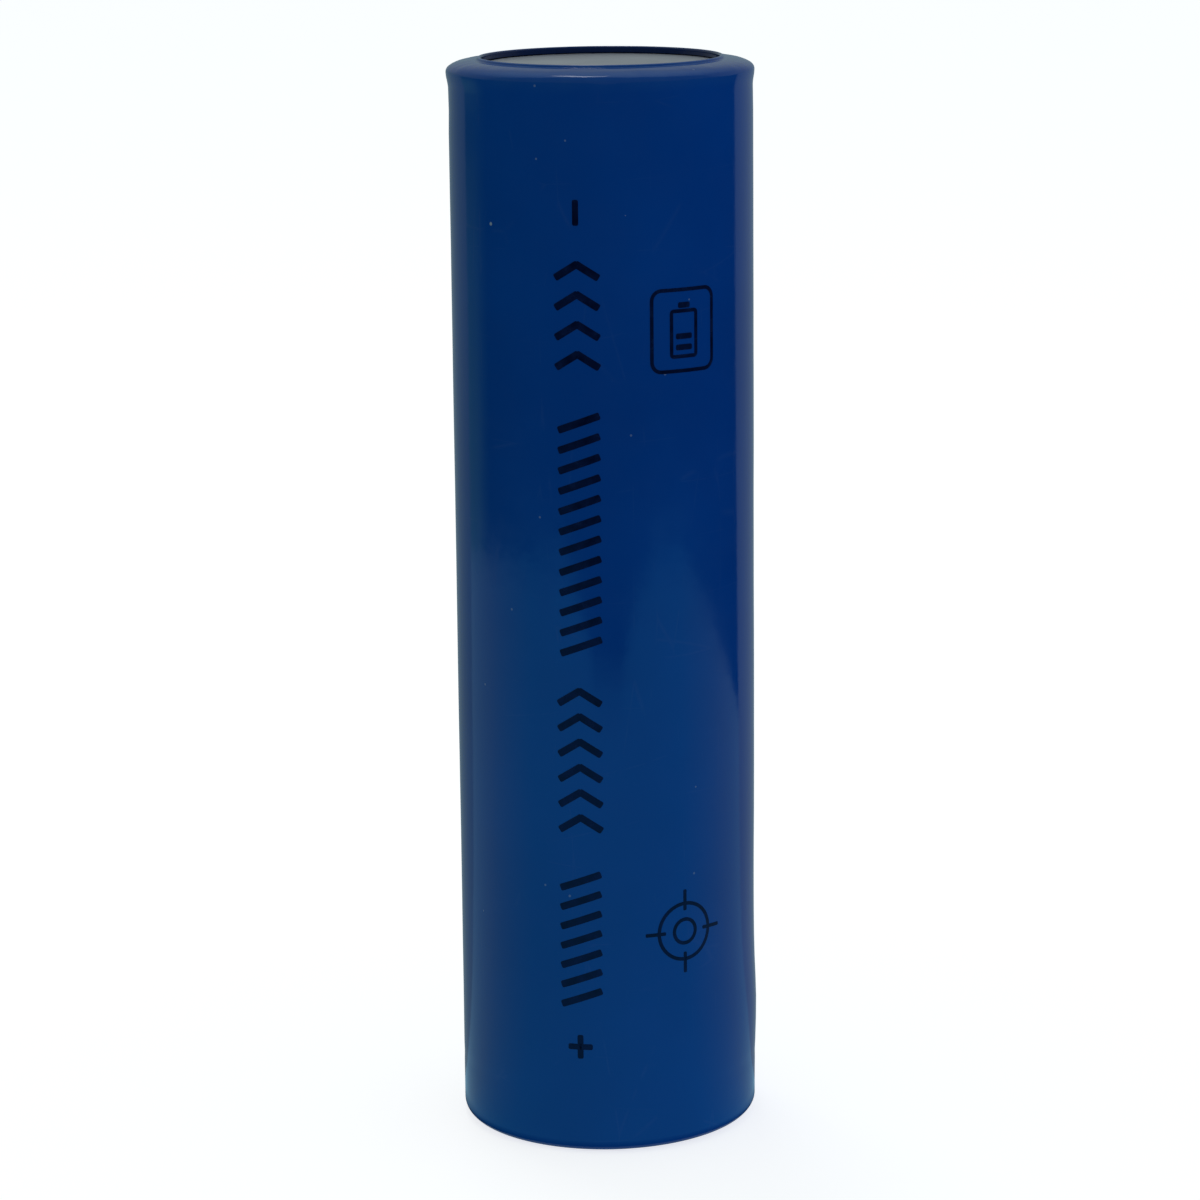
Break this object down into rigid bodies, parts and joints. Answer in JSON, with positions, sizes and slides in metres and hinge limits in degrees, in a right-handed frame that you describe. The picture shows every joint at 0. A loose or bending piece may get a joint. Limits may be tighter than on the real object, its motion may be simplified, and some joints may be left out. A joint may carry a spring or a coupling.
{
  "type": "cylindrical battery cell",
  "caption": "Round rechargeable battery cell in a shrunk plastic sleeve, with a flat terminal at each end and its wound inner parts.",
  "frame": {"origin": "centre of the positive terminal's face, the lowest point of the cell as it stands", "axes": "+Z along the cell, from the positive terminal to the flat negative terminal; X and Y are across it, with the printed line to the -Y side"},
  "size_m": [0.0184, 0.0184, 0.0656],
  "materials": {
    "sleeve_film": "glossy, slightly wrinkled",
    "insulating_card": "matte card",
    "nickel_plate": "satin nickel plate",
    "seal_plastic": "moulded, milky",
    "current_limiter": "dull",
    "aluminium": "pressed, satin",
    "pin_steel": "drawn",
    "separator_film": "thin white film",
    "cathode_coating": "dull black coating",
    "anode_coating": "dull black coating",
    "amber_tape": "smooth tape"
  },
  "bodies": {
    "root": {"shrink_sleeve": "sleeve_film", "positive_card_ring": "insulating_card", "steel_can": "nickel_plate", "crimp_gasket": "seal_plastic", "positive_cap": "nickel_plate", "ptc_ring": "current_limiter", "vent_disc": "aluminium", "vent_spacer_ring": "seal_plastic", "interrupt_weld_plate": "aluminium", "positive_end_disc": "seal_plastic", "negative_end_disc": "seal_plastic", "centre_pin": "pin_steel", "inner_separator": "separator_film", "cathode_sheet": "cathode_coating", "outer_separator": "separator_film", "anode_sheet": "anode_coating", "closing_tape": "amber_tape", "positive_tab": "aluminium", "negative_tab": "nickel_plate", "positive_tab_tape": "amber_tape", "negative_tab_tape": "amber_tape"}
  },
  "joints": []
}
